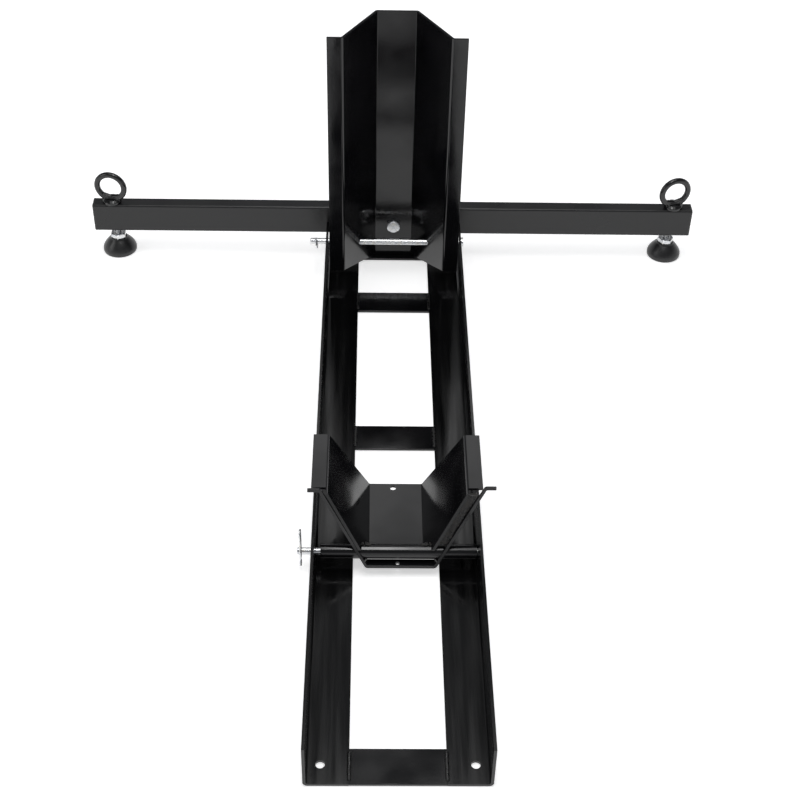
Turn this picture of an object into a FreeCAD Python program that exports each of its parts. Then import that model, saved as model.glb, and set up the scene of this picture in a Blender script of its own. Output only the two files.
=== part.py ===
"""Motorcycle front-wheel chock with a folding tyre trough, a rocker and a stabiliser cross-bar.

Millimetres, +Z up, +Y from the entry edge towards the cross-bar, X across the track.
The pieces are built with Y = 0 at the entry edge and the floor at Z = 0.  At export all of
them move together, so that the origin is the bottom centre of the whole object.
"""
import FreeCAD
import Part
import math
import os

V = FreeCAD.Vector

# ---------------------------------------------------------------- overall sizes
stand_length = 884.5          # entry edge to the rear end of the rails
base_width = 180.0            # outside to outside of the rails
upright_top = 363.8           # height of the tyre trough
bar_length = 808.0            # cross-bar with its end caps

# ---------------------------------------------------------------- sheet and fits
sheet = 3.0                   # every folded or flat sheet piece
fold_inside = 2.0             # inside radius of the rail fold
trough_fold_inside = 1.5      # inside radius of the trough folds
running = 0.05                # radial play of a pin that turns
clear = 0.3                   # gap between two pieces that move past each other
hole_play = 0.25              # radial play of a bolt in a clearance hole

# ---------------------------------------------------------------- rails and flat cross pieces
rail_height = 56.0
foot_flange = 43.5            # width of the rail's foot
plate_depth = 40.0            # length along Y of each flat cross piece
rear_bay = 77.5               # open length between the seat plate and the rear crosspiece
middle_bay = 225.0            # open length between the two crosspieces
notch_depth = 21.0            # how far the rail flange is cut down for the cross-bar
notch_front_gap = 3.5         # between the notch wall and the cross-bar
anchor_from_side = 16.0
anchor_y = 22.0
anchor_radius = 4.5
side_hole_y = 9.0
side_hole_below_top = 10.0
side_hole_radius = 3.0
bead_radius = 2.2

# ---------------------------------------------------------------- cross-bar and its bolt
bar_height = 40.9
bar_depth = 20.0
bar_wall = 2.0
bar_corner = 3.0
bar_above_notch = 0.8
cap_head = 3.0
cap_plug = 14.0
bolt_radius = 5.0             # M10
bolt_below_middle = 3.5
hex_across = 17.0
bolt_head_height = 6.4
nut_height = 8.0
washer_radius = 10.5
washer_thick = 2.0
bolt_tip = 1.5                # thread showing behind the nut

# ---------------------------------------------------------------- upright tyre trough
upright_back_half = 24.2      # flat back, half width
upright_flange = 19.2         # width of the outward flanges
upright_side_gap = 2.8        # flange end to the inside of the rail
upright_depth = 70.5          # mouth to back, front surfaces
upright_seat_gap = clear      # lower back edge above the seat plate
mouth_bottom = 26.5           # lower end of the flanges
pin_before_back = 33.0        # cross pin, in front of the inner back face
pin_below_rail_top = 8.5

# ---------------------------------------------------------------- pins and clips
pin_radius = 4.0
pin_head_radius = 6.5
pin_head_thick = 3.0
upright_pin_out = 21.0        # beyond the left rail
pivot_pin_out = 16.5
clip_from_rail = 12.5
clip_length = 54.0
clip_lean = 41.0              # the upright pin's clip points up and forward by this angle
clip_wire = 1.25
clip_hole = 1.45
clip_loop = 4.3               # radius of the loop at the closed end, wire middle
clip_bend = 2.0               # smallest bend of the waved leg
clip_gap = 0.35               # waved leg to the pin and to the straight leg

# ---------------------------------------------------------------- rocker
pivot_y = 279.6
pivot_z = 22.4
tube_radius = 8.0
tube_left_gap = 5.8
rocker_bottom_half = 29.4     # inner bottom, half width
rocker_flange = 16.7          # width of the outward flanges
rocker_flange_over = 0.9      # flange end past the outside of the rail
rocker_above_tube = 2.8       # inner bottom above the lowest line of the tube
rocker_depth = 75.1           # inner bottom to the top of the flanges
rocker_far_reach = 109.0      # far edge behind the pivot
rocker_before_tube = 3.9      # near edge at the inner bottom, in front of the tube
rocker_flange_back = 26.0     # near end of the flanges, behind the pivot
rocker_lean = 0.41            # near edge moves back this much per mm of height
far_hole_inset = 6.4
far_hole_x = -2.8
far_hole_radius = 3.5

band_shift = 4.8              # the band sits off centre to the right
band_gap = 0.1                # under the trough
band_side_gap = 0.16          # beside the trough, on the near side
band_before_tube = 5.1        # near edge at its bottom, in front of the tube
band_lean = 0.37
band_depth_bottom = 9.5
band_far_lean = 0.284
left_lip_rise = 4.7           # top of each lip above the flanges
right_lip_rise = 8.0
band_lip_over = 8.4           # lip end past the flange end, from the band's own middle
band_hole_radius = 2.2

# ---------------------------------------------------------------- feet and eye bolts
pad_radius = 22.6
pad_rim = 4.5
pad_neck_radius = 11.5
foot_from_bar_end = 29.0
foot_hex_height = 6.3
foot_hex_across = 19.0
foot_screw_shown = 7.95       # bare thread between the hexagon and the bar
foot_screw_inside = 20.2      # thread above the bottom of the bar
pad_socket_bottom = 6.0
eye_from_bar_end = 26.0
eye_ring_radius = 18.4        # centre line of the ring
eye_wire = 4.0
eye_collar_radius = 12.5
eye_collar_height = 4.0
eye_turn_left = -10.0         # each eye stands turned by this many degrees
eye_turn_right = 15.0
eye_shank = 11.2
weld_nut_height = 8.0

# ---------------------------------------------------------------- places that follow
half_base = base_width / 2.0
rail_inner = half_base - sheet
half_opening = half_base - foot_flange
bar_bottom = rail_height - notch_depth + bar_above_notch
bar_top = bar_bottom + bar_height
bar_middle_z = bar_bottom + bar_height / 2.0
seat_y = stand_length - plate_depth
plate_rear_y = seat_y - rear_bay - plate_depth
plate_front_y = plate_rear_y - middle_bay - plate_depth
bar_front = stand_length - 27.5
bar_back = bar_front + bar_depth
bar_middle_y = bar_front + bar_depth / 2.0
back_inner = bar_front - sheet
mouth_y = back_inner - upright_depth
pin_y = back_inner - pin_before_back
pin_height = rail_height - pin_below_rail_top
upright_flange_end = rail_inner - upright_side_gap
upright_mouth_half = upright_flange_end - upright_flange
seat_z = sheet + upright_seat_gap
bolt_z = bar_middle_z - bolt_below_middle
half_track = bar_length / 2.0 - foot_from_bar_end
half_eye_track = bar_length / 2.0 - eye_from_bar_end
pad_height = bar_bottom - foot_screw_shown - foot_hex_height - running
foot_screw_top = bar_bottom + foot_screw_inside
clip_x = -half_base - clip_from_rail
rocker_flange_half = half_base + rocker_flange_over
rocker_mouth_half = rocker_flange_half - rocker_flange
rocker_bottom_z = pivot_z - tube_radius + rocker_above_tube
rocker_mouth_z = rocker_bottom_z + rocker_depth
rocker_far_y = pivot_y + rocker_far_reach
rocker_near_y = pivot_y - tube_radius - rocker_before_tube
rocker_flange_near_y = pivot_y + rocker_flange_back
side_slope = (rocker_mouth_half - rocker_bottom_half) / (rocker_mouth_z - rocker_bottom_z)
sheet_across = sheet * math.sqrt(1.0 + side_slope ** 2)
band_top_z = rocker_bottom_z - sheet - band_gap
band_half = (rocker_bottom_half - side_slope * (sheet + band_gap)
             + sheet_across + band_side_gap + band_shift)
band_near_y = pivot_y - tube_radius - band_before_tube
left_lip_top = rocker_mouth_z + left_lip_rise
right_lip_top = rocker_mouth_z + right_lip_rise
band_lip_end = rocker_flange_half + band_lip_over


# ---------------------------------------------------------------- helpers
def cylinder(start, end, radius):
    """Solid cylinder between two points."""
    line = end.sub(start)
    return Part.makeCylinder(radius, line.Length, start, line)


def box(x0, x1, y0, y1, z0, z1):
    """Block given by its lower and upper corner."""
    return Part.makeBox(x1 - x0, y1 - y0, z1 - z0, V(x0, y0, z0))


def prism(points, direction):
    """Closed polygon of 3-D points pushed along a vector."""
    return Part.Face(Part.makePolygon(points + [points[0]])).extrude(direction)


def prism_yz(corners, x0, x1):
    """Polygon in the YZ plane pushed along X."""
    return prism([V(x0, y, z) for y, z in corners], V(x1 - x0, 0, 0))


def surface_edges(path, offset, inside, place):
    """Edges of one surface of a folded sheet.  The sheet lies on the left of the path."""
    edges = []
    here = None
    count = len(path)
    for i in range(count):
        px, py = path[i]
        if i > 0:
            length = math.hypot(px - path[i - 1][0], py - path[i - 1][1])
            d1 = ((px - path[i - 1][0]) / length, (py - path[i - 1][1]) / length)
        if i < count - 1:
            length = math.hypot(path[i + 1][0] - px, path[i + 1][1] - py)
            d2 = ((path[i + 1][0] - px) / length, (path[i + 1][1] - py) / length)
        if i == 0:
            here = (px - d2[1] * offset, py + d2[0] * offset)
            first = here
            continue
        if i == count - 1:
            last = (px - d1[1] * offset, py + d1[0] * offset)
            edges.append(Part.makeLine(place(*here), place(*last)))
            continue
        cross = d1[0] * d2[1] - d1[1] * d2[0]
        side = 1.0 if cross > 0 else -1.0
        turn = abs(math.atan2(cross, d1[0] * d2[0] + d1[1] * d2[1]))
        radius_path = inside + (sheet if side > 0 else 0.0)
        radius = radius_path - side * offset
        run = radius_path * math.tan(turn / 2.0)
        cx = px - d1[0] * run - d1[1] * side * radius_path
        cy = py - d1[1] * run + d1[0] * side * radius_path
        reach = math.hypot(px - cx, py - cy)
        start = (px - d1[0] * run - d1[1] * offset, py - d1[1] * run + d1[0] * offset)
        end = (px + d2[0] * run - d2[1] * offset, py + d2[1] * run + d2[0] * offset)
        middle = (cx + (px - cx) / reach * radius, cy + (py - cy) / reach * radius)
        edges.append(Part.makeLine(place(*here), place(*start)))
        edges.append(Part.Arc(place(*start), place(*middle), place(*end)).toShape())
        here = end
    return edges, first, last


def folded_sheet(path, inside, place, push):
    """Folded sheet: a path on one surface, given thickness on its left and pushed along a vector."""
    one, a0, a1 = surface_edges(path, 0.0, inside, place)
    two, b0, b1 = surface_edges(path, sheet, inside, place)
    ends = [Part.makeLine(place(*a0), place(*b0)), Part.makeLine(place(*a1), place(*b1))]
    wire = Part.Wire(Part.__sortEdges__(one + two + ends))
    return Part.Face(wire).extrude(push)


def mirrored(shape):
    """The same piece on the other side of the track."""
    return shape.mirror(V(0, 0, 0), V(1, 0, 0))


def turned(profile):
    """Solid of revolution about Z from (radius, height) corners."""
    points = [V(r, 0, z) for r, z in profile]
    face = Part.Face(Part.makePolygon(points + [points[0]]))
    return face.revolve(V(0, 0, 0), V(0, 0, 1), 360)


def hexagon(height, across, edge=1.0):
    """Hexagonal head or nut on Z = 0 with both rims chamfered."""
    corner = across / math.sqrt(3.0)
    points = [V(corner * math.cos(math.radians(60 * k)), corner * math.sin(math.radians(60 * k)), 0)
              for k in range(6)]
    body = prism(points, V(0, 0, height))
    low = corner - edge
    limit = turned([(0, 0), (low, 0), (corner, edge * 0.5), (corner, height - edge * 0.5),
                    (low, height), (0, height)])
    return body.common(limit)


def laid_along_y(shape, x, y, z):
    """Turn a piece built on Z so that its axis runs along +Y, then place it."""
    shape.rotate(V(0, 0, 0), V(1, 0, 0), -90)
    shape.translate(V(x, y, z))
    return shape


def rounded_tube_face(x, depth, height, corner):
    """Rounded rectangle in the plane X = x, centred on the cross-bar axis."""
    half_y = depth / 2.0
    half_z = height / 2.0
    block = Part.makeBox(1.0, depth, height, V(x, bar_middle_y - half_y, bar_middle_z - half_z))
    along = [e for e in block.Edges if abs(e.Vertexes[0].X - e.Vertexes[-1].X) > 0.5]
    block = block.makeFillet(corner, along)
    faces = [f for f in block.Faces if abs(f.CenterOfMass.x - x) < 1e-6 and len(f.Edges) == 8]
    return faces[0]


def bar_section(x0, x1, shrink, corner):
    """Solid rounded bar along X, smaller all round by the given amount."""
    face = rounded_tube_face(x0, bar_depth - 2 * shrink, bar_height - 2 * shrink, corner)
    return face.extrude(V(x1 - x0, 0, 0))


def keep_one(shape):
    """The single solid of a boolean result."""
    return shape.Solids[0] if len(shape.Solids) == 1 else shape


# ---------------------------------------------------------------- base frame
def rail():
    """Left rail: an L of folded sheet, notched for the cross-bar, with its holes."""
    path = [(-half_base, rail_height), (-half_base, 0.0), (-half_opening, 0.0)]
    body = folded_sheet(path, fold_inside, lambda x, z: V(x, 0, z), V(0, stand_length, 0))
    notch = box(-half_base - 1, -half_base + sheet + 1, bar_front - notch_front_gap,
                stand_length + 1, rail_height - notch_depth, rail_height + 1)
    body = body.cut(notch)
    for y, z, radius in ((pivot_y, pivot_z, pin_radius + running),
                         (pin_y, pin_height, pin_radius + running),
                         (side_hole_y, rail_height - side_hole_below_top, side_hole_radius)):
        body = body.cut(cylinder(V(-half_base - 5, y, z), V(-half_base + 10, y, z), radius))
    x = -half_base + anchor_from_side
    body = body.cut(cylinder(V(x, anchor_y, -5), V(x, anchor_y, 10), anchor_radius))
    return body


def cross_plate(y0):
    """Flat bar between the foot flanges."""
    return box(-half_opening, half_opening, y0, y0 + plate_depth, 0, sheet)


def plate_beads():
    """Weld beads on top of the seams between the plates and the foot flanges."""
    beads = []
    for y0 in (0.0, plate_front_y, plate_rear_y, seat_y):
        for side in (-1, 1):
            seam = V(side * half_opening, y0 + 3.0, sheet)
            bead = cylinder(seam, seam + V(0, plate_depth - 6.0, 0), bead_radius)
            under = box(-half_base, half_base, y0 - 5, y0 + plate_depth + 5, -5, sheet)
            beads.append(bead.cut(under))
    return Part.makeCompound(beads)


# ---------------------------------------------------------------- upright trough
def upright():
    """Tyre trough of folded sheet with slanted sides and outward flanges."""
    path = [(-upright_flange_end, mouth_y), (-upright_mouth_half, mouth_y),
            (-upright_back_half, back_inner), (upright_back_half, back_inner),
            (upright_mouth_half, mouth_y), (upright_flange_end, mouth_y)]
    body = folded_sheet(path, trough_fold_inside, lambda x, y: V(x, y, seat_z),
                        V(0, 0, upright_top - seat_z))
    lower = prism_yz([(mouth_y - 5, -5), (bar_front + 5, -5), (bar_front + 5, seat_z),
                      (back_inner, seat_z), (mouth_y + sheet, mouth_bottom),
                      (mouth_y - 5, mouth_bottom)], -half_base, half_base)
    body = body.cut(lower)
    body = body.cut(cylinder(V(-half_base, pin_y, pin_height), V(half_base, pin_y, pin_height),
                             pin_radius + running))
    body = body.cut(cylinder(V(0, back_inner - 5, bolt_z), V(0, bar_front + 5, bolt_z),
                             bolt_radius + hole_play))
    return body


# ---------------------------------------------------------------- cross-bar
def cross_bar():
    """Rectangular tube with holes for its bolt, the feet and the eye bolts."""
    end = bar_length / 2.0 - cap_head
    body = bar_section(-end, end, 0.0, bar_corner)
    body = body.cut(bar_section(-end - 1, end + 1, bar_wall, bar_corner - bar_wall))
    body = body.cut(cylinder(V(0, bar_front - 5, bolt_z), V(0, bar_back + 5, bolt_z),
                             bolt_radius + hole_play))
    for side in (-1, 1):
        for x, z in ((side * half_track, bar_bottom), (side * half_eye_track, bar_top)):
            body = body.cut(cylinder(V(x, bar_middle_y, z - 5), V(x, bar_middle_y, z + 5),
                                     bolt_radius + hole_play))
    return body


def end_cap():
    """Plastic cap of the left end: a head that covers the tube and a hollow plug inside it."""
    outer = -bar_length / 2.0
    inner = outer + cap_head
    head = bar_section(outer, inner, 0.0, bar_corner)
    rim = [e for e in head.Edges if abs(e.Vertexes[0].X - outer) < 1e-6
           and abs(e.Vertexes[-1].X - outer) < 1e-6]
    head = head.makeFillet(1.2, rim)
    fit = bar_wall + running
    plug = bar_section(inner, inner + cap_plug, fit, bar_corner - bar_wall)
    hollow = bar_section(inner, inner + cap_plug + 1, fit + 2.0, 0.5)
    return keep_one(head.fuse(plug.cut(hollow)).removeSplitter())


def bar_bolt():
    """Hexagon bolt from inside the trough through the back and the bar."""
    head = hexagon(bolt_head_height, hex_across)
    end = sheet + bar_depth + washer_thick + nut_height + bolt_tip
    shank = turned([(0, 0), (bolt_radius, 0), (bolt_radius, end - 1.0), (bolt_radius - 1.0, end), (0, end)])
    shank.translate(V(0, 0, bolt_head_height))
    return keep_one(laid_along_y(head.fuse(shank), 0, back_inner - bolt_head_height, bolt_z))


def washer():
    """Plain washer behind the bar."""
    ring = Part.makeCylinder(washer_radius, washer_thick)
    ring = ring.cut(Part.makeCylinder(bolt_radius + hole_play, washer_thick))
    return laid_along_y(ring, 0, bar_back, bolt_z)


def plain_nut(height):
    """Hexagon nut on Z = 0 with a plain hole in place of its thread."""
    return hexagon(height, hex_across).cut(Part.makeCylinder(bolt_radius + running, height))


def bar_nut():
    """Nut behind the washer."""
    return laid_along_y(plain_nut(nut_height), 0, bar_back + washer_thick, bolt_z)


def weld_nuts():
    """Nuts inside the tube: two on its floor for the feet, two under its roof for the eyes."""
    nuts = []
    hollow = bar_section(-bar_length / 2.0, bar_length / 2.0, bar_wall, bar_corner - bar_wall)
    for side in (-1, 1):
        for x, z in ((half_track, bar_bottom + bar_wall),
                     (half_eye_track, bar_top - bar_wall - weld_nut_height)):
            nut = plain_nut(weld_nut_height)
            nut.rotate(V(0, 0, 0), V(0, 0, 1), 30)
            nut.translate(V(side * x, bar_middle_y, z))
            nuts.append(nut.common(hollow))
    return Part.makeCompound(nuts)


# ---------------------------------------------------------------- feet and eyes
def foot_pad(side):
    """Domed plastic pad with a socket for the screw."""
    rim = V(pad_radius, 0, pad_rim)
    top = V(pad_neck_radius, 0, pad_height - 1.0)
    bulge = V(pad_radius - 2.8, 0, pad_height * 0.62)
    edges = [Part.makeLine(V(0, 0, 0), V(pad_radius - 1.2, 0, 0)),
             Part.makeLine(V(pad_radius - 1.2, 0, 0), V(pad_radius, 0, 1.2)),
             Part.makeLine(V(pad_radius, 0, 1.2), rim),
             Part.Arc(rim, bulge, top).toShape(),
             Part.makeLine(top, V(pad_neck_radius, 0, pad_height)),
             Part.makeLine(V(pad_neck_radius, 0, pad_height), V(0, 0, pad_height)),
             Part.makeLine(V(0, 0, pad_height), V(0, 0, 0))]
    body = Part.Face(Part.Wire(edges)).revolve(V(0, 0, 0), V(0, 0, 1), 360)
    socket = Part.makeCylinder(bolt_radius + running, pad_height, V(0, 0, pad_socket_bottom))
    body = body.cut(socket)
    body.translate(V(side * half_track, bar_middle_y, 0))
    return body


def foot_screw(side):
    """Threaded stud with a hexagon collar that stands on the pad."""
    low = pad_socket_bottom + running
    collar = pad_height + running
    stud = turned([(0, low), (bolt_radius, low), (bolt_radius, foot_screw_top - 1.0),
                   (bolt_radius - 1.0, foot_screw_top), (0, foot_screw_top)])
    nut = hexagon(foot_hex_height, foot_hex_across)
    nut.rotate(V(0, 0, 0), V(0, 0, 1), 0 if side < 0 else 30)
    nut.translate(V(0, 0, collar))
    body = keep_one(stud.fuse(nut).removeSplitter())
    body.translate(V(side * half_track, bar_middle_y, 0))
    return body


def eye_bolt(side):
    """Ring on a flared collar with a shank into the weld nut under the roof of the bar."""
    ring_z = eye_collar_height + 0.6 + eye_ring_radius
    ring = Part.makeTorus(eye_ring_radius, eye_wire, V(0, 0, ring_z), V(0, 1, 0))
    collar = turned([(0, 0), (eye_collar_radius - 0.6, 0), (eye_collar_radius, 0.6),
                     (eye_collar_radius, eye_collar_height),
                     (eye_collar_radius - 3.5, eye_collar_height + 2.5), (0, eye_collar_height + 2.5)])
    low = eye_collar_height - 1.0
    front = -eye_wire + 0.6
    foot = eye_collar_radius - 1.0
    arm = eye_ring_radius - 2.6
    web = prism([V(-foot, front, low), V(foot, front, low), V(arm, front, ring_z - 9.5),
                 V(0, front, low + 5.8), V(-arm, front, ring_z - 9.5)], V(0, -2.0 * front, 0))
    shank = Part.makeCylinder(bolt_radius, eye_shank + 1.0, V(0, 0, -eye_shank))
    body = keep_one(ring.fuse([collar, web, shank]).removeSplitter())
    body.rotate(V(0, 0, 0), V(0, 0, 1), eye_turn_right if side > 0 else eye_turn_left)
    body.translate(V(side * half_eye_track, bar_middle_y, bar_top))
    return body


# ---------------------------------------------------------------- pins
def cross_pin(y, z, stick_out, hole_along):
    """Round pin through both rails with a flat head on the right and a clip hole on the left."""
    right = half_base + pin_head_thick
    left = -half_base - stick_out
    body = cylinder(V(left + 1.0, y, z), V(half_base, y, z), pin_radius)
    tip = Part.makeCone(pin_radius - 1.0, pin_radius, 1.0, V(left, y, z), V(1, 0, 0))
    head = cylinder(V(half_base, y, z), V(right, y, z), pin_head_radius)
    body = body.fuse([tip, head]).removeSplitter()
    reach = hole_along * 12.0
    centre = V(clip_x, y, z)
    body = body.cut(cylinder(centre - reach, centre + reach, clip_hole))
    return keep_one(body)


def spring_clip(y, z, along, across):
    """Hairpin of round wire: a straight leg through the pin and a waved leg over its outside."""
    def place(a, b):
        return V(clip_x, y, z) + along * a + across * b

    over = pin_radius + clip_wire + clip_gap
    beside = 2.0 * clip_wire + clip_gap
    low = -clip_length / 3.0
    middle = low + clip_length - clip_wire - clip_loop
    knee = over + 1.9
    reach = middle - knee
    rise = clip_loop - beside
    lean = math.asin(clip_loop / math.hypot(reach, rise)) + math.atan2(rise, reach)
    turn_end = (middle - clip_loop * math.sin(lean), -clip_loop * (1.0 + math.cos(lean)))
    half = lean / 2.0
    turn_half = (middle + clip_loop * math.cos(half), -clip_loop * (1.0 + math.sin(half)))
    wave = [turn_end, (knee, -beside), (over * 0.55, -over), (-over * 0.55, -over),
            (-knee, -beside), (low + 3.0, -beside - 4.7)]
    edges = [Part.makeLine(place(low, 0.0), place(middle, 0.0)),
             Part.Arc(place(middle, 0.0), place(*turn_half), place(*turn_end)).toShape()]
    edges += surface_edges(wave, 0.0, clip_bend, place)[0]
    path = Part.Wire(edges)
    ring = Part.Wire(Part.makeCircle(clip_wire, place(low, 0.0), along))
    return path.makePipeShell([ring], True, True)


# ---------------------------------------------------------------- rocker
def pivot_tube_solid(radius):
    """Round bar along the pivot axis, used for the tube and for the notches around it."""
    return cylinder(V(-rail_inner + tube_left_gap, pivot_y, pivot_z),
                    V(rail_inner - clear, pivot_y, pivot_z), radius)


def pivot_tube():
    """Spacer tube that turns on the pivot pin."""
    return pivot_tube_solid(tube_radius).cut(pivot_tube_solid(pin_radius + running))


def near_cut(near_y, base_z, lean, far):
    """Everything in front of (or behind) a plane that leans back with height."""
    top = 150.0
    start_y = near_y + lean * (-10.0 - base_z)
    end_y = near_y + lean * (top - base_z)
    limit = 600.0 if far else 100.0
    return prism_yz([(start_y, -10.0), (limit, -10.0), (limit, top), (end_y, top)], -200, 200)


def rocker_trough():
    """Level tyre trough of the rocker, welded to the pivot tube."""
    path = [(rocker_flange_half, rocker_mouth_z), (rocker_mouth_half, rocker_mouth_z),
            (rocker_bottom_half, rocker_bottom_z), (-rocker_bottom_half, rocker_bottom_z),
            (-rocker_mouth_half, rocker_mouth_z), (-rocker_flange_half, rocker_mouth_z)]
    start = rocker_near_y - 20.0
    body = folded_sheet(path, trough_fold_inside, lambda x, z: V(x, start, z),
                        V(0, rocker_far_y - start, 0))
    body = body.cut(near_cut(rocker_near_y, rocker_bottom_z, rocker_lean, False))
    flange_low = rocker_mouth_z - sheet - 1.5
    for side in (-1, 1):
        x0 = side * (rocker_mouth_half + 1.0)
        x1 = side * (rocker_flange_half + 5.0)
        body = body.cut(box(min(x0, x1), max(x0, x1), start - 5, rocker_flange_near_y,
                            flange_low, rocker_mouth_z + 5))
    body = body.cut(box(-120, 120, start - 5, pivot_y, -5, pivot_z + tube_radius))
    body = body.cut(pivot_tube_solid(tube_radius))
    hole_y = rocker_far_y - far_hole_inset
    body = body.cut(cylinder(V(far_hole_x, hole_y, 0), V(far_hole_x, hole_y, 30), far_hole_radius))
    return keep_one(body)


def band_inner(z):
    """Half width of the inner face of the near band at a height."""
    return band_half + side_slope * (z - band_top_z)


def near_band():
    """Strip folded to the same profile outside the near edge of the trough, with two lips."""
    left_half = band_inner(left_lip_top)
    right_half = band_inner(right_lip_top)
    path = [(band_lip_end, right_lip_top), (right_half, right_lip_top), (band_half, band_top_z),
            (-band_half, band_top_z), (-left_half, left_lip_top), (-band_lip_end, left_lip_top)]
    path = [(x + band_shift, z) for x, z in path]
    start = band_near_y - 20.0
    body = folded_sheet(path, trough_fold_inside, lambda x, z: V(x, start, z), V(0, 80.0, 0))
    body = body.cut(near_cut(band_near_y, band_top_z, band_lean, False))
    body = body.cut(near_cut(band_near_y + band_depth_bottom, band_top_z, band_far_lean, True))
    body = body.cut(pivot_tube_solid(tube_radius))
    hole = V(band_shift * 0.3, band_near_y + 3.6, 0)
    body = body.cut(cylinder(hole, hole + V(0, 0, 30), band_hole_radius))
    return keep_one(body)


def rocker_welds(trough, band):
    """Weld metal between the tube, the trough and the band."""
    beads = []
    for side in (-1, 1):
        inner = rocker_bottom_half + side_slope * (pivot_z - rocker_bottom_z)
        near = V(side * (inner - 6.0), pivot_y, pivot_z)
        cone = Part.makeCone(tube_radius + 0.3, tube_radius + 2.4, 7.0, near, V(side, 0, 0))
        outer_face = inner + sheet_across
        far = V(side * (outer_face + 6.5), pivot_y, pivot_z)
        outer_cone = Part.makeCone(tube_radius + 0.3, tube_radius + 2.2, 7.5, far, V(-side, 0, 0))
        behind = box(-120, 120, pivot_y + 0.5, pivot_y + 60, pivot_z - 6.0, 100)
        beads.append(cone.common(behind))
        beads.append(outer_cone.common(behind))
    low = pivot_z + 14.0
    high = rocker_mouth_z - 4.0
    corners = []
    for z in (low, high):
        corners.append((rocker_bottom_half + side_slope * (z - rocker_bottom_z) + sheet_across, z))
    for z in (high, low):
        corners.append((band_inner(z) + band_shift, z))
    seam = prism([V(x, 200, z) for x, z in corners], V(0, 150, 0))
    seam = seam.cut(near_cut(rocker_near_y + 1.2, rocker_bottom_z, rocker_lean, False))
    seam = seam.cut(near_cut(rocker_near_y + 6.0, rocker_bottom_z, rocker_lean, True))
    beads.append(seam)
    done = []
    for bead in beads:
        bead = bead.cut(trough).cut(band).cut(pivot_tube_solid(tube_radius))
        done += [s for s in bead.Solids if s.Volume > 8.0]
    return Part.makeCompound(done)


# ---------------------------------------------------------------- all nodes
def build():
    """Every named piece in the entry-edge frame."""
    left_rail = rail()
    cap = end_cap()
    tube = pivot_tube()
    trough = rocker_trough()
    band = near_band()
    forward = V(0, -math.cos(math.radians(clip_lean)), math.sin(math.radians(clip_lean)))
    nodes = {
        "left_rail": left_rail,
        "right_rail": mirrored(left_rail),
        "entry_plate": cross_plate(0.0),
        "front_crosspiece": cross_plate(plate_front_y),
        "rear_crosspiece": cross_plate(plate_rear_y),
        "upright_seat_plate": cross_plate(seat_y),
        "base_welds": plate_beads(),
        "upright_trough": upright(),
        "cross_bar": cross_bar(),
        "left_end_cap": cap,
        "right_end_cap": mirrored(cap),
        "bar_bolt": bar_bolt(),
        "bar_bolt_washer": washer(),
        "bar_bolt_nut": bar_nut(),
        "bar_weld_nuts": weld_nuts(),
        "upright_pin": cross_pin(pin_y, pin_height, upright_pin_out, forward),
        "upright_pin_clip": spring_clip(pin_y, pin_height, forward, V(0, forward.z, -forward.y)),
        "pivot_pin": cross_pin(pivot_y, pivot_z, pivot_pin_out, V(0, 0, 1)),
        "pivot_pin_clip": spring_clip(pivot_y, pivot_z, V(0, 0, 1), V(0, 1, 0)),
        "rocker_pivot_tube": tube,
        "rocker_trough": trough,
        "rocker_near_band": band,
        "rocker_welds": rocker_welds(trough, band),
    }
    for side, name in ((-1, "left"), (1, "right")):
        nodes[name + "_foot_pad"] = foot_pad(side)
        nodes[name + "_foot_screw"] = foot_screw(side)
        nodes[name + "_eye_bolt"] = eye_bolt(side)
    return nodes


def export(nodes):
    """Write one STEP file per node about the bottom centre of the whole object."""
    os.makedirs("parts", exist_ok=True)
    whole = Part.makeCompound(list(nodes.values())).BoundBox
    shift = V(-(whole.XMin + whole.XMax) / 2.0, -(whole.YMin + whole.YMax) / 2.0, -whole.ZMin)
    for name, shape in nodes.items():
        shape = shape.copy()
        shape.translate(shift)
        shape.exportStep("parts/" + name + ".step")
        print(name, len(shape.Solids), shape.isValid(), round(shape.Volume / 1000.0, 2), "cm3")
    print("shift", shift, "size", whole.XLength, whole.YLength, whole.ZLength)


export(build())
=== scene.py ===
# %% [markdown]
# # A motorcycle front-wheel chock
# Two folded steel rails carry flat crosspieces, a rocker that tips under the tyre and a tall
# trough that holds the front of it. A tubular cross-bar with two levelling feet keeps the
# stand upright, and two eye bolts take the straps. Nearly all of it is sheet steel under one
# gloss black powder coat, so the finish and the small roundings of the edges are the lesson.

import bpy
import bmesh
import math
import numpy as np
from mathutils import Matrix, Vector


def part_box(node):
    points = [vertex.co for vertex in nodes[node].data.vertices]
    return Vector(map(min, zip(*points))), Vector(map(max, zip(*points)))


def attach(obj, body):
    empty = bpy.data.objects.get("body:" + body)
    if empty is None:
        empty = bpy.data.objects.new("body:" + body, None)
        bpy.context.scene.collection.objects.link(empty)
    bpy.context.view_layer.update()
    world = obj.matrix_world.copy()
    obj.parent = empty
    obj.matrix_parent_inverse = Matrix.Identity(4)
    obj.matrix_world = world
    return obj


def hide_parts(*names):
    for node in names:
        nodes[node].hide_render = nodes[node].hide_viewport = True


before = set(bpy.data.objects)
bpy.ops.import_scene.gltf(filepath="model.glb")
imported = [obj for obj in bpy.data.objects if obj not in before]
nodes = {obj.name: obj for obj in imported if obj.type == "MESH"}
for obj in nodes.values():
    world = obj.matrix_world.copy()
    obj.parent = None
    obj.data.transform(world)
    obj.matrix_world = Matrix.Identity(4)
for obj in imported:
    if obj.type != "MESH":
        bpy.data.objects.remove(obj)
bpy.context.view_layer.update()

MM = 0.001

# %% [markdown]
# ## Colours and the node helper
# Colours are picked as the hex values a screen shows, and Blender computes with linear light,
# so one function turns the first into the second. Typing linear numbers by hand would do too,
# but nobody can picture them. Every material below is a small graph of nodes, and one helper
# adds a node, sets its fields and links its inputs.


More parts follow.
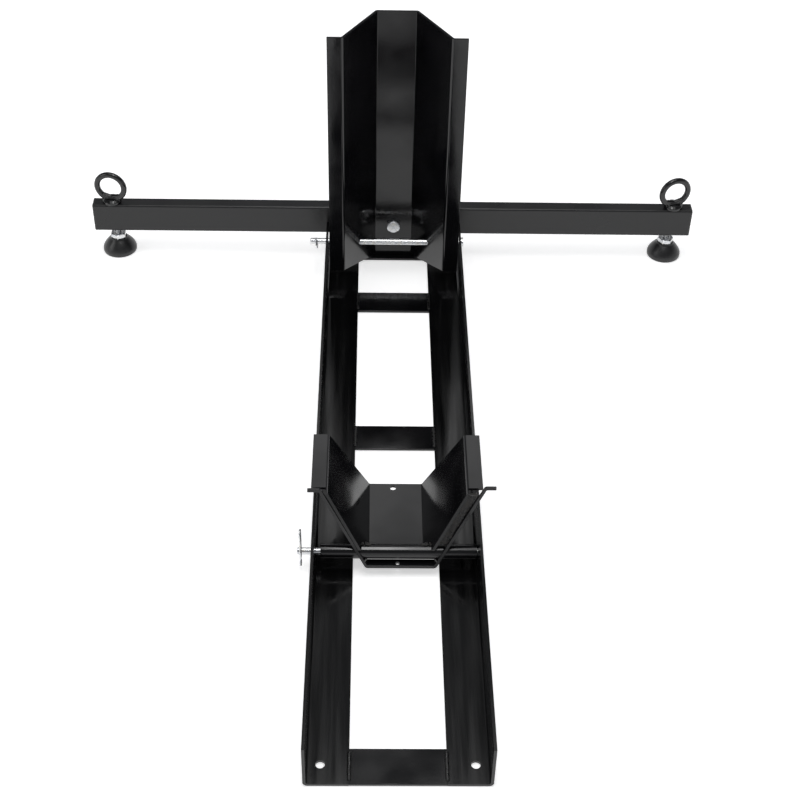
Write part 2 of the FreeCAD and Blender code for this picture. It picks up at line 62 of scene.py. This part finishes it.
# %% Colours
def linear(hex_colour):
    """sRGB hex to linear RGBA: each channel is c/12.92 near black, else ((c+0.055)/1.055)^2.4."""
    srgb = np.array([int(hex_colour[i:i + 2], 16) for i in (1, 3, 5)]) / 255.0
    light = np.where(srgb <= 0.04045, srgb / 12.92, ((srgb + 0.055) / 1.055) ** 2.4)
    return (*light.tolist(), 1.0)


print("screen grey #808080 is", round(linear("#808080")[0], 3), "in linear light")


# %% Nodes
def feed(tree, node, **inputs):
    """Gives a node its inputs: the socket of another node is linked, a plain value is set."""
    for name, value in inputs.items():
        socket = node.inputs[name.replace("_", " ")]
        if isinstance(value, bpy.types.NodeSocket):
            tree.links.new(value, socket)
        else:
            socket.default_value = value


def add(tree, kind, stops=(), **inputs):
    """Adds one node and feeds it; stops are the (place, hex colour) pairs of a colour ramp."""
    node = tree.nodes.new("ShaderNode" + kind)
    if stops:
        elements = node.color_ramp.elements
        while len(elements) < len(stops):
            elements.new(0.5)
        for element, (place, colour) in zip(elements, stops):
            element.position = place
            element.color = linear(colour)
    feed(tree, node, **inputs)
    return node


def shading(name):
    """A new material: (material, its tree, its shader, the socket with a point's own place)."""
    material = bpy.data.materials.new(name)
    material.use_nodes = True
    tree = material.node_tree
    place = add(tree, "TexCoord").outputs["Object"]
    return material, tree, tree.nodes["Principled BSDF"], place


def per_mm(wavelength_mm):
    """Noise scale whose features repeat about every wavelength_mm, in metres of Object space."""
    return 1.0 / (wavelength_mm * MM)


print("a pattern 3.5 mm across has the scale", round(per_mm(3.5), 1))


# %% [markdown]
# ## Gloss powder coat on folded sheet
# Polyester powder melts in an oven and levels to a thick glossy film. It never gets quite
# flat: a faint orange peel a few millimetres across stays in it, slow waves of the sheet
# show in its reflections, and dust caught in the oven stands up as single specks. The colour
# is one deep black with a trace of grey where the film is thin, so a picture of the surface
# would have nothing to show: the looks come from roughness and bump. Real peel is a
# millimetre or two across, and is drawn coarser here so that it still shows from afar.


# %% Powder coat
def powder_coat(name, colour, thin_colour, rough_low, rough_high, peel, streaks=False):
    """Orange peel 3.5 mm across, waves 60 mm across, and dust specks 1 mm across in 14 mm cells.

    Streaks, for rolled sheet, are noise 9 mm wide drawn out twenty times along Y.
    """
    material, tree, shader, place = shading(name)
    waves = add(tree, "TexNoise", Vector=place, Scale=per_mm(60.0), Detail=2.0)
    orange = add(tree, "TexNoise", Vector=place, Scale=per_mm(3.5), Detail=1.5)
    dust = add(tree, "TexVoronoi", Vector=place, Scale=per_mm(14.0))
    speck = add(tree, "MapRange", Value=dust.outputs["Distance"], From_Min=0.02, From_Max=0.06,
                To_Min=1.0, To_Max=0.0)
    film = add(tree, "ValToRGB", ((0.35, colour), (0.75, thin_colour)), Fac=waves.outputs["Fac"])
    drawn = waves
    if streaks:
        along = add(tree, "Mapping", Vector=place, Scale=(1.0, 0.05, 1.0))
        drawn = add(tree, "TexNoise", Vector=along.outputs[0], Scale=per_mm(9.0), Detail=3.0)
    rough = add(tree, "MapRange", Value=drawn.outputs["Fac"], From_Min=0.3, From_Max=0.7,
                To_Min=rough_low, To_Max=rough_high)
    peeled = add(tree, "Bump", Height=orange.outputs["Fac"], Strength=peel, Distance=0.05 * MM)
    swept = add(tree, "Bump", Height=waves.outputs["Fac"], Strength=0.25, Distance=0.4 * MM,
                Normal=peeled.outputs[0])
    specked = add(tree, "Bump", Height=speck.outputs[0], Strength=0.35, Distance=0.06 * MM,
                  Normal=swept.outputs[0])
    feed(tree, shader, Base_Color=film.outputs["Color"], Roughness=rough.outputs[0],
         Normal=specked.outputs[0], IOR=1.52, Specular_IOR_Level=0.45)
    return material


sheet_coat = powder_coat("gloss black powder coat", "#08080a", "#0e0e10", 0.06, 0.20, 0.24)
rail_coat = powder_coat("gloss black powder coat on rolled sheet", "#070708", "#0d0d0e",
                        0.06, 0.24, 0.30, streaks=True)
bar_coat = powder_coat("satin black powder coat on tube", "#08080a", "#0d0d0e", 0.26, 0.36, 0.20)
print("powder coats", sheet_coat.name, rail_coat.name, bar_coat.name)

# %% [markdown]
# ## Bright zinc
# Pins, bolt, clips and foot screws are steel under a few thousandths of a millimetre of
# zinc. It is a metal, so its colour is the colour of its reflections: a bluish grey with
# slightly warmer clouds in it. Turning leaves marks of about 0.1 mm, too fine to show, so
# they are drawn six times as wide and only as bump.


# %% Zinc plate
def bright_zinc(name):
    """Clouds 6 mm across between a bluish and a warm grey; turning marks of 0.6 mm as bump."""
    material, tree, shader, place = shading(name)
    clouds = add(tree, "TexNoise", Vector=place, Scale=per_mm(6.0), Detail=4.0)
    marks = add(tree, "TexNoise", Vector=place, Scale=per_mm(0.6), Detail=2.0)
    tint = add(tree, "ValToRGB", ((0.3, "#b9bcc1"), (0.55, "#d9dadb"), (0.75, "#c8c4ba")),
               Fac=clouds.outputs["Fac"])
    rough = add(tree, "MapRange", Value=clouds.outputs["Fac"], From_Min=0.3, From_Max=0.7,
                To_Min=0.16, To_Max=0.34)
    bump = add(tree, "Bump", Height=marks.outputs["Fac"], Strength=0.25, Distance=0.03 * MM)
    feed(tree, shader, Base_Color=tint.outputs["Color"], Roughness=rough.outputs[0],
         Normal=bump.outputs[0], Metallic=1.0)
    return material


zinc = bright_zinc("bright zinc plate on steel")
print("metal finish", zinc.name)

# %% [markdown]
# ## Moulded nylon and stoved enamel
# The pads and the end caps are moulded in a die whose spark-eroded wall prints a fine even
# grain on them, drawn here at half a millimetre so that it shows. The eye bolts are dropped
# forgings under enamel that flowed in the oven: smoother than powder, and waved by the
# forging below. Both are near black, and what tells them apart is how sharply they mirror.


# %% Nylon and enamel
def moulded_nylon(name):
    """Spark-eroded grain 0.5 mm across on near-black nylon, with handling marks 15 mm across."""
    material, tree, shader, place = shading(name)
    grain = add(tree, "TexNoise", Vector=place, Scale=per_mm(0.5), Detail=2.0)
    marks = add(tree, "TexNoise", Vector=place, Scale=per_mm(15.0), Detail=3.0)
    tint = add(tree, "ValToRGB", ((0.35, "#0d0d0e"), (0.7, "#161617")), Fac=marks.outputs["Fac"])
    rough = add(tree, "MapRange", Value=marks.outputs["Fac"], From_Min=0.3, From_Max=0.7,
                To_Min=0.30, To_Max=0.42)
    bump = add(tree, "Bump", Height=grain.outputs["Fac"], Strength=0.2, Distance=0.04 * MM)
    feed(tree, shader, Base_Color=tint.outputs["Color"], Roughness=rough.outputs[0],
         Normal=bump.outputs[0], IOR=1.53)
    return material


def stoved_enamel(name):
    """Flowed enamel: waves 8 mm across from the forging below, hardly any peel."""
    material, tree, shader, place = shading(name)
    forged = add(tree, "TexNoise", Vector=place, Scale=per_mm(8.0), Detail=2.5)
    tint = add(tree, "ValToRGB", ((0.3, "#060607"), (0.7, "#0f0f10")), Fac=forged.outputs["Fac"])
    rough = add(tree, "MapRange", Value=forged.outputs["Fac"], From_Min=0.3, From_Max=0.7,
                To_Min=0.10, To_Max=0.20)
    bump = add(tree, "Bump", Height=forged.outputs["Fac"], Strength=0.4, Distance=0.15 * MM)
    feed(tree, shader, Base_Color=tint.outputs["Color"], Roughness=rough.outputs[0],
         Normal=bump.outputs[0], IOR=1.52)
    return material


nylon = moulded_nylon("moulded black nylon")
enamel = stoved_enamel("black stoved enamel on forged steel")
print("black finishes", nylon.name, enamel.name)

# %% [markdown]
# ## Coat over weld
# Powder runs thin over the rough crests of a seam and shows the brown scale of the weld
# below. The same noise that wears the colour also roughens the film, because on the real
# seam both come from the same crests. The seams between the rails are well covered, and
# those on the rocker are barer, so there are two of this finish.


# %% Painted weld
def painted_weld(name, coat, scale_colour):
    """Black coat over a weld seam, worn to the brown scale where noise 4 mm across runs high."""
    material, tree, shader, place = shading(name)
    worn = add(tree, "TexNoise", Vector=place, Scale=per_mm(4.0), Detail=5.0, Roughness=0.65)
    grit = add(tree, "TexNoise", Vector=place, Scale=per_mm(1.1), Detail=3.0)
    tint = add(tree, "ValToRGB", ((0.45, coat), (0.62, scale_colour)), Fac=worn.outputs["Fac"])
    rough = add(tree, "MapRange", Value=worn.outputs["Fac"], From_Min=0.4, From_Max=0.65,
                To_Min=0.22, To_Max=0.60)
    bump = add(tree, "Bump", Height=grit.outputs["Fac"], Strength=0.7, Distance=0.25 * MM)
    feed(tree, shader, Base_Color=tint.outputs["Color"], Roughness=rough.outputs[0],
         Normal=bump.outputs[0])
    return material


weld_coat = painted_weld("black coat over weld seam", "#0a0a0b", "#1b1a19")
bare_weld = painted_weld("thinly coated weld with brown scale", "#0d0d0d", "#2c2926")
print("weld finishes", weld_coat.name, bare_weld.name)

# %% [markdown]
# ## Edges of sheet steel
# A laser-cut sheet has crisp edges, yet no real edge is a knife: deburring and the film of
# powder leave it round by some tenths of a millimetre, and that thin round is what catches
# the white lines of light all over this stand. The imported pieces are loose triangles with
# knife edges. Each is copied, its triangles merged back into flat faces, and a Bevel
# modifier rounds every edge sharper than the limit, which leaves the bends alone. Building
# the sheets anew would risk their holes and bends, which are right already. Normals weighted
# by area keep the large faces flat where they run smoothly into a bend.


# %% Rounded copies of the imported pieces
def merged_copy(name, planar_degrees=1.0):
    """The piece's own mesh with doubled points merged and flat triangles joined into faces."""
    mesh = nodes[name].data.copy()
    work = bmesh.new()
    work.from_mesh(mesh)
    bmesh.ops.remove_doubles(work, verts=work.verts, dist=0.002 * MM)
    bmesh.ops.dissolve_limit(work, angle_limit=math.radians(planar_degrees),
                             verts=work.verts, edges=work.edges)
    work.to_mesh(mesh)
    work.free()
    mesh.materials.clear()
    return mesh


def finish_piece(mesh, name, body, material, stands_for, smooth_degrees=35.0):
    """Puts a mesh in the scene as a piece that rides on its body and stands for a packed one."""
    mesh.materials.append(material)
    mesh.shade_smooth()
    mesh.set_sharp_from_angle(angle=math.radians(smooth_degrees))
    piece = bpy.data.objects.new(name, mesh)
    bpy.context.scene.collection.objects.link(piece)
    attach(piece, body)
    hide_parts(stands_for)
    return piece


def rounded(name, body, material, edge_mm, limit_degrees=40.0):
    """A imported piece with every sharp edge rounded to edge_mm by a two-step bevel."""
    piece = finish_piece(merged_copy(name), name + "_finished", body, material, name)
    bevel = piece.modifiers.new("deburred edge", "BEVEL")
    bevel.width = edge_mm * MM
    bevel.segments = 2
    bevel.limit_method = "ANGLE"
    bevel.angle_limit = math.radians(limit_degrees)
    bevel.use_clamp_overlap = True
    facing = piece.modifiers.new("flat faces stay flat", "WEIGHTED_NORMAL")
    facing.keep_sharp = True
    facing.weight = 90
    return piece


print("merging within 0.002 mm, sharp edges are those above 40 degrees")

# %% Sheet steel pieces, the tube and its caps
flat_bars = ("entry_plate", "front_crosspiece", "rear_crosspiece", "upright_seat_plate")
sheet_edge = 0.4
for name in ("left_rail", "right_rail"):
    rounded(name, "base", rail_coat, sheet_edge)
for name in flat_bars:
    rounded(name, "base", sheet_coat, sheet_edge)
rounded("upright_trough", "upright", sheet_coat, sheet_edge)
for name in ("rocker_trough", "rocker_near_band"):
    rounded(name, "rocker", sheet_coat, sheet_edge)
rounded("rocker_pivot_tube", "rocker", sheet_coat, 0.3)
rounded("cross_bar", "upright", bar_coat, 0.25)
for name in ("left_end_cap", "right_end_cap"):
    rounded(name, "upright", nylon, 0.2)
print("sheet edges rounded to", sheet_edge, "mm")

# %% [markdown]
# ## Zinc-plated fasteners
# The pins, the clips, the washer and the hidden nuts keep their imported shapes, because
# turned and drawn parts have no detail that shows beyond a small chamfer. Plating shops
# tumble them in a drum, which rounds each edge, so they get that rounding and no more.

# %% Pins, clips, washer and nuts
for name in ("pivot_pin", "upright_pin", "pivot_pin_clip", "upright_pin_clip"):
    rounded(name, "base", zinc, 0.25, limit_degrees=50.0)
for name in ("bar_bolt_washer", "bar_bolt_nut", "bar_weld_nuts"):
    rounded(name, "upright", zinc, 0.2, limit_degrees=50.0)
print("fasteners rounded")

# %% [markdown]
# ## Threads
# The foot screws show a few turns of thread between their hexagon and the bar, and the bolt
# shows its tip behind the nut. A thread is a surface of two parameters, the turn and the
# height: the radius follows a flattened triangle wave of height minus turn times pitch. A
# bump pattern would leave a smooth outline, and a Screw modifier leaves ends to close by
# hand. A grid of points with the wave in its radius is one closed skin from the start.


# %% A closed grid of points as a mesh, and its points as rows
def closed_grid(points, name, wrap_rows=False):
    """Mesh of a (rows, columns, 3) grid in metres: columns close round, ends close on a point."""
    rows, columns, _ = points.shape
    index = np.arange(rows * columns).reshape(rows, columns)
    if wrap_rows:
        index = np.vstack([index, index[:1]])
    across = np.roll(index, -1, axis=1)
    quads = np.stack([index[:-1], across[:-1], across[1:], index[1:]], axis=-1).reshape(-1, 4)
    faces = quads.tolist()
    corners = points.reshape(-1, 3)
    if not wrap_rows:
        low, high = rows * columns, rows * columns + 1
        corners = np.vstack([corners, points[0].mean(0), points[-1].mean(0)])
        faces += np.stack([across[0], index[0], np.full(columns, low)], axis=-1).tolist()
        faces += np.stack([index[-1], across[-1], np.full(columns, high)], axis=-1).tolist()
    mesh = bpy.data.meshes.new(name)
    mesh.from_pydata(corners.tolist(), [], faces)
    work = bmesh.new()
    work.from_mesh(mesh)
    bmesh.ops.recalc_face_normals(work, faces=work.faces)
    work.to_mesh(mesh)
    work.free()
    return mesh


def rows_of(mesh, field="co"):
    """A field of the mesh's points, their places or their normals, as rows of x, y and z."""
    values = np.empty(len(mesh.vertices) * 3)
    mesh.vertices.foreach_get(field, values)
    return values.reshape(-1, 3)


def placed(mesh, places):
    """The same mesh with its points at new places, in metres."""
    mesh.vertices.foreach_set("co", places.ravel())
    return mesh


def joined(meshes, name):
    """One mesh made of several."""
    work = bmesh.new()
    for mesh in meshes:
        work.from_mesh(mesh)
    whole = bpy.data.meshes.new(name)
    work.to_mesh(whole)
    work.free()
    return whole


print("a closed grid is one skin: n rows of m columns make (n - 1) m quads and two end fans")


# %% Turned surfaces, threads and hexagons
def revolved(radius, height, turn):
    """Points at (radius cos turn, radius sin turn, height), a row for each height, in metres."""
    return np.stack([radius * np.cos(turn), radius * np.sin(turn),
                     np.repeat(height[:, None], len(turn), axis=1)], axis=-1)


def lathe(profile, name, columns=72):
    """Surface of revolution about Z: each (radius, height) in mm is a ring of points."""
    turn = np.linspace(0.0, 2.0 * np.pi, columns, endpoint=False)
    radius, height = np.array(profile, float).T * MM
    return closed_grid(revolved(radius[:, None], height, turn), name)


def thread(low, high, name, outer=5.0, pitch=1.5, depth=0.85, columns=40):
    """Radius = outer - depth x wave(height / pitch - turn), faded to the core at both ends."""
    turn = np.linspace(0.0, 2.0 * np.pi, columns, endpoint=False)
    height = np.arange(low, high + 0.01, pitch / 8.0)
    phase = (height[:, None] / pitch - turn / (2.0 * np.pi)) % 1.0
    wave = np.clip(np.abs(phase - 0.5) * 2.4 - 0.1, 0.0, 1.0)
    fade = np.clip(np.minimum(height - low, high - height) / pitch, 0.0, 1.0)[:, None]
    radius = (outer - depth + depth * (1.0 - wave) * fade) * MM
    return closed_grid(revolved(radius, height * MM, turn), name)


def hexagon(low, high, name, across=17.0, crown=0.9, facing=0.0):
    """Hexagon whose corners are cut by a cone at both rims: radius = min(flat side, cone)."""
    turn = np.linspace(0.0, 2.0 * np.pi, 96, endpoint=False)
    sixth = np.pi / 3.0
    flat = across / 2.0 / np.cos((turn - facing + sixth / 2.0) % sixth - sixth / 2.0)
    rim = 0.15
    steps = np.array([low, low, low + rim, low + crown, high - crown, high - rim, high, high])
    widening = np.array([-1.2, 0.0, 0.4, 2.0])
    cone = across / 2.0 - 0.1 + np.concatenate([widening, widening[::-1]])
    radius = np.minimum(flat[None, :], cone[:, None]) * MM
    return closed_grid(revolved(radius, steps * MM, turn), name)


print("thread of 1.5 mm pitch and 0.85 mm depth on a 10 mm stud")


# %% Foot screws with their threads
collar_height = 6.3
pad_gap = 0.05
for side, facing in (("left", 0.0), ("right", math.pi / 6.0)):
    low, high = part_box(side + "_foot_screw")
    pad_low, pad_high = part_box(side + "_foot_pad")
    collar = (pad_high.z - pad_low.z) / MM + pad_gap
    screw = joined([thread((low.z - pad_low.z) / MM, (high.z - pad_low.z) / MM, "stud"),
                    hexagon(collar, collar + collar_height, "collar", across=19.0, facing=facing)],
                   side + "_screw")
    placed(screw, rows_of(screw) + ((low.x + high.x) / 2, (low.y + high.y) / 2, pad_low.z))
    finish_piece(screw, side + "_foot_screw_threaded", side + "_stud", zinc, side + "_foot_screw")
    print(side, "foot screw", round((high.z - low.z) / MM, 1), "mm long")

# %% [markdown]
# ## The bolt through trough and bar
# Its head is in front and its thread end behind, and it lies along Y. The head, the shank
# and the thread are made standing and then laid down together: x stays, height becomes y
# and the old y points down, which is a turn and not a mirror, so the faces stay outward.

# %% The bolt through the bar, with its thread behind the nut
low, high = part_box("bar_bolt")
length = (high.y - low.y) / MM
head_height = 6.4
thread_start = length - 13.0
shank = [(5.0, head_height - 0.6), (5.0, thread_start + 0.6), (4.6, thread_start + 1.0)]
bolt = joined([hexagon(0.0, head_height, "head"), lathe(shank, "shank"),
               thread(thread_start, length, "bolt thread")], "bolt")
x, y, z = rows_of(bolt).T
placed(bolt, np.stack([x + (low.x + high.x) / 2, z + low.y, (low.z + high.z) / 2 - y], axis=-1))
finish_piece(bolt, "bar_bolt_threaded", "upright", zinc, "bar_bolt")
print("bolt of", round(length, 1), "mm")

# %% [markdown]
# ## Moulded feet
# Each pad is one moulding turned on its ball: a flat rim that meets the floor, a dome and a
# short neck. A cylinder with its edges bevelled would have no dome, so its section is drawn as
# a curve and lathed with closely spaced rings, with small radii where the dome joins the rim
# and the neck.

# %% Foot pads
neck = 11.4
socket_radius = 5.1
for side in ("left", "right"):
    low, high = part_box(side + "_foot_pad")
    rim = (high.x - low.x) / 2 / MM
    tall = (high.z - low.z) / MM
    swell = np.linspace(0.0, 1.0, 24)
    dome_radius = rim - (rim - neck - 0.2) * swell ** 1.6 - 0.3 * np.sin(np.pi * swell)
    dome_height = 4.6 + (tall - 6.0) * swell
    sole = [(5.2, 0.9), (rim - 6.0, 0.9), (rim - 5.0, 0.0), (rim - 1.2, 0.0)]
    wall = [(rim - 0.35, 0.35), (rim, 1.2), (rim, 4.2), *zip(dome_radius, dome_height)]
    top = [(neck, tall - 0.7), (neck - 0.3, tall - 0.15), (neck - 0.8, tall), (5.4, tall)]
    socket = [(socket_radius, tall - 0.4), (socket_radius, 6.0), (3.0, 6.0)]
    pad = lathe(sole + wall + top + socket, side + "_pad", columns=96)
    placed(pad, rows_of(pad) + ((low.x + high.x) / 2, (low.y + high.y) / 2, low.z))
    finish_piece(pad, side + "_foot_pad_moulded", side + "_foot", nylon, side + "_foot_pad")
print("pads", round(rim * 2, 1), "mm across")

# %% [markdown]
# ## Forged eye bolts
# An eye bolt is dropped in one piece: ring, foot and collar flow into each other. A union of
# plain shapes would meet in sharp creases. Here a ring, turned discs and a saddle-shaped web
# overlap, are remeshed as one skin with half-millimetre cells, and smoothing lets them run
# into each other as forged metal does.


# %% Eye bolts
def ring_mesh(radius, wire, height):
    """Torus in the XZ plane: a circle of the wire's radius carried round the ring's circle."""
    around = np.linspace(0.0, 2.0 * np.pi, 96, endpoint=False)[:, None]
    turn = np.linspace(0.0, 2.0 * np.pi, 32, endpoint=False)
    out = radius + wire * np.cos(turn)
    points = np.stack([out * np.cos(around), (wire * np.sin(turn)) + 0.0 * around,
                       height + out * np.sin(around)], axis=-1) * MM
    return closed_grid(points, "ring", wrap_rows=True)


def web_mesh(foot, arm, low, dip, high):
    """Saddle below the ring: width grows from foot to arm while its top dips in the middle."""
    u = np.concatenate([np.linspace(-1.0, 1.0, 24), np.linspace(1.0, -1.0, 24)])
    thick = np.concatenate([np.full(24, -3.2), np.full(24, 3.2)])
    v = np.linspace(0.0, 1.0, 10)[:, None]
    top = dip + (high - dip) * np.abs(u)
    width = foot + (arm - foot) * v
    points = np.stack([u * width, thick + 0.0 * v, low + (top - low) * v], axis=-1)
    return closed_grid(points * MM, "web")


ring_radius = 18.4
wire_radius = 4.0
skin_allowance = 0.05
collar_profile = [(11.9, 0.1), (12.4, 0.7), (12.4, 3.9), (9.2, 6.3), (4.0, 6.5)]
bar_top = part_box("cross_bar")[1].z
for side, degrees in (("left", -10.0), ("right", 15.0)):
    low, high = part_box(side + "_eye_bolt")
    ring_height = (high.z - bar_top) / MM - wire_radius - ring_radius
    eye = joined([ring_mesh(ring_radius, wire_radius - skin_allowance, ring_height),
                  web_mesh(11.2, 15.6, 3.0, 8.6, 13.0), lathe(collar_profile, "collar"),
                  lathe([(4.9, (low.z - bar_top) / MM), (4.9, 0.5)], "shank")], side + "_eye")
    x, y, z = rows_of(eye).T
    cosine, sine = math.cos(math.radians(degrees)), math.sin(math.radians(degrees))
    turned = np.stack([x * cosine - y * sine, x * sine + y * cosine, z], axis=-1)
    placed(eye, turned + ((low.x + high.x) / 2, (low.y + high.y) / 2, bar_top))
    piece = finish_piece(eye, side + "_eye_bolt_forged", "upright", enamel, side + "_eye_bolt",
                         smooth_degrees=180.0)
    skin = piece.modifiers.new("one skin", "REMESH")
    skin.mode = "VOXEL"
    skin.voxel_size = 0.5 * MM
    skin.use_smooth_shade = True
    flow = piece.modifiers.new("forged flow", "SMOOTH")
    flow.factor = 0.5
    flow.iterations = 6
    print(side, "eye bolt turned by", degrees, "degrees")

# %% [markdown]
# ## Weld seams
# The crosspieces are welded to the rails on top of each seam. A bead laid by hand is a row
# of overlapping crescents about two millimetres apart. Bump on a smooth rod would keep a
# straight outline, so the bead is a surface: its radius swells and falls along its length,
# later at its sides than on its back.


# %% Beads between the crosspieces and the rails
def bead(x, y0, y1, z, radius, seed):
    """Radius along the seam = r x (0.8 + 0.2 x crescent), where the crescent lags at the sides."""
    along = np.linspace(0.0, 1.0, 120)[:, None]
    turn = np.linspace(0.0, 2.0 * np.pi, 24, endpoint=False)
    length = y1 - y0
    step_mm = 2.1
    wander = 0.12 * np.sin(along * 9.0 + seed) + 0.08 * np.sin(along * 23.0 + 2.0 * seed)
    lag = 1.1 * np.abs(np.cos(turn))
    crescent = ((along * length + lag) / step_mm + wander) % 1.0
    ends = np.sqrt(np.clip(1.0 - (2.0 * along - 1.0) ** 16, 0.0, 1.0))
    size = radius * (0.80 + 0.20 * crescent ** 0.6) * np.maximum(ends, 0.05)
    side = x + 0.15 * np.sin(along * 14.0 + seed) + size * np.cos(turn)
    back = z + 0.8 * size * np.sin(turn)
    points = np.stack([side, (y0 + along * length) + 0.0 * turn, back], axis=-1)
    return closed_grid(points * MM, "bead")


beads = []
bead_inset = 3.0
for name in flat_bars:
    low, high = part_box(name)
    for edge in (low.x, high.x):
        beads.append(bead(edge / MM, low.y / MM + bead_inset, high.y / MM - bead_inset,
                          high.z / MM, radius=2.1, seed=len(beads) * 1.7))
finish_piece(joined(beads, "beads"), "base_weld_beads", "base", weld_coat, "base_welds",
             smooth_degrees=60.0)
print(len(beads), "beads")

# %% [markdown]
# ## Rough seams on the rocker
# Where the rocker's strip and tube were welded in place, the metal is lumpy and uneven. The
# packed weld metal has the right place and volume but flat faces. It is given an even skin
# of half-millimetre cells, so that there are points to move, and each point is then pushed
# in or out by a few crossing waves, which repeat nowhere along so short a seam.


# %% Rough seams on the rocker
def roughened(mesh, height_mm):
    """Every point moves along its normal by the mean of four sine waves, 2 to 7 mm long."""
    waves = (((7.0, 5.1, 6.2), 0.4), ((3.9, -4.6, 3.1), 1.9), ((-2.6, 3.3, 2.9), 3.0),
             ((5.3, 2.4, -4.4), 5.2))
    p = rows_of(mesh) / MM
    lumps = sum(np.sin(p @ (2.0 * np.pi / np.array(wave)) + shift) for wave, shift in waves) / 4.0
    out = p + rows_of(mesh, "normal") * (lumps * height_mm)[:, None]
    return placed(mesh, out * MM)


def skinned(mesh, cell_mm):
    """The mesh as one even skin of cells, worked out by a Remesh modifier and kept."""
    holder = bpy.data.objects.new("holder", mesh)
    bpy.context.scene.collection.objects.link(holder)
    skin = holder.modifiers.new("skin", "REMESH")
    skin.mode = "VOXEL"
    skin.voxel_size = cell_mm * MM
    flow = holder.modifiers.new("flow", "SMOOTH")
    flow.iterations = 3
    graph = bpy.context.evaluated_depsgraph_get()
    made = bpy.data.meshes.new_from_object(holder.evaluated_get(graph))
    bpy.data.objects.remove(holder)
    return made


seams = roughened(skinned(merged_copy("rocker_welds"), cell_mm=0.5), height_mm=0.35)
finish_piece(seams, "rocker_weld_seams", "rocker", bare_weld, "rocker_welds",
             smooth_degrees=60.0)
print("rocker seams", len(seams.vertices), "points")

# %% [markdown]
# ## Floor
# The stand is on a white studio floor. A square plane would show its corners in the gloss,
# so it is a wide disc, half a millimetre below the rails so that the two never flicker. It
# glows a little, as paper does when the whole room lights it, because black gloss shows
# only what it mirrors, and the upright faces mirror the floor.

# %% Floor
floor_radius = 14.0
floor_mesh = bpy.data.meshes.new("floor")
around = np.linspace(0.0, 2.0 * np.pi, 96, endpoint=False)
disc = np.stack([floor_radius * np.cos(around), floor_radius * np.sin(around), 0.0 * around], axis=-1)
floor_mesh.from_pydata(disc.tolist(), [], [tuple(range(len(disc)))])
floor = bpy.data.objects.new("studio_floor", floor_mesh)
bpy.context.scene.collection.objects.link(floor)
floor.location.z = -0.0005
paper, tree, shader, place = shading("white studio paper")
fibre = add(tree, "TexNoise", Vector=place, Scale=per_mm(400.0))
tint = add(tree, "ValToRGB", ((0.3, "#f4f4f4"), (0.7, "#fafafa")), Fac=fibre.outputs["Fac"])
feed(tree, shader, Base_Color=tint.outputs["Color"], Roughness=0.9, Specular_IOR_Level=0.1,
     Emission_Color=(1.0, 1.0, 1.0, 1.0), Emission_Strength=0.55)
floor_mesh.materials.append(paper)
print("floor disc of", floor_radius, "m radius")

# %% [markdown]
# ## Lights and room
# One wide soft light overhead gives the soft shadows. A narrow bright strip below it draws
# the white lines that run along every bend and edge, a weak panel behind draws the level
# faces, and one at the left lifts the sides. The room is pale at the horizon and greyer
# above, so that gloss has a gradient to mirror.


# %% Lights and room
def softbox(name, place, aim, width, depth, watts):
    """A rectangular area light at place, turned towards aim."""
    light = bpy.data.lights.new(name, "AREA")
    light.shape = "RECTANGLE"
    light.size, light.size_y = width, depth
    light.energy = watts
    lamp = bpy.data.objects.new(name, light)
    lamp.location = place
    towards = np.array(aim, float) - np.array(place, float)
    across = math.atan2(towards[1], towards[0]) - math.pi / 2.0
    tilt = math.acos(-towards[2] / np.linalg.norm(towards))
    lamp.rotation_euler = (tilt, 0.0, across)
    bpy.context.scene.collection.objects.link(lamp)
    print(name, "light of", watts, "W")


softbox("overhead", (0.0, 0.1, 2.6), (0.0, 0.1, 0.0), 2.4, 2.4, 24.0)
softbox("strip", (0.0, -0.1, 2.4), (0.0, -0.1, 0.0), 1.8, 0.22, 10.0)
softbox("behind", (0.15, 1.9, 1.85), (0.0, 0.0, 0.05), 1.6, 0.5, 2.6)
softbox("left", (-2.6, -0.6, 1.6), (0.0, 0.0, 0.1), 1.0, 1.6, 12.0)
world = bpy.data.worlds.new("pale room")
world.use_nodes = True
room = world.node_tree
facing = add(room, "SeparateXYZ", Vector=add(room, "TexCoord").outputs["Generated"])
sweep = add(room, "ValToRGB", ((0.22, "#e9eaec"), (0.42, "#7a7b7d")), Fac=facing.outputs["Z"])
feed(room, room.nodes["Background"], Color=sweep.outputs["Color"])
bpy.context.scene.world = world
bpy.context.scene.view_settings.view_transform = "Standard"

# %% [markdown]
# ## Camera
# A standing person's view from over the entry, with a lens longer than the eye's. A camera
# aimed by a constraint cannot lean, and this one leans by more than a degree, so its turn is
# built from yaw, pitch and roll as a matrix.


# %% Camera
def aimed_camera(place, yaw, pitch, roll, focal_mm):
    """Looks along yaw from +Y and pitch below the horizon; roll leans the picture."""
    forward = np.array([-math.sin(yaw) * math.cos(pitch), math.cos(yaw) * math.cos(pitch),
                        -math.sin(pitch)])
    level = np.array([math.cos(yaw), math.sin(yaw), 0.0])
    rise = np.cross(level, forward)
    right = math.cos(roll) * level + math.sin(roll) * rise
    up = -math.sin(roll) * level + math.cos(roll) * rise
    camera = bpy.data.objects.new("camera", bpy.data.cameras.new("camera"))
    camera.data.lens = focal_mm
    camera.data.sensor_width = 36.0
    camera.data.clip_end = 60.0
    turn = np.eye(4)
    turn[:3, 0], turn[:3, 1], turn[:3, 2], turn[:3, 3] = right, up, -forward, place
    camera.matrix_world = Matrix(turn.tolist())
    bpy.context.scene.collection.objects.link(camera)
    return camera


camera = aimed_camera(place=(-0.0279, -1.2524, 1.1831), yaw=-0.02567, pitch=0.71561,
                      roll=0.02433, focal_mm=66.38)
bpy.context.scene.camera = camera
print("camera", round(camera.data.lens, 1), "mm lens")
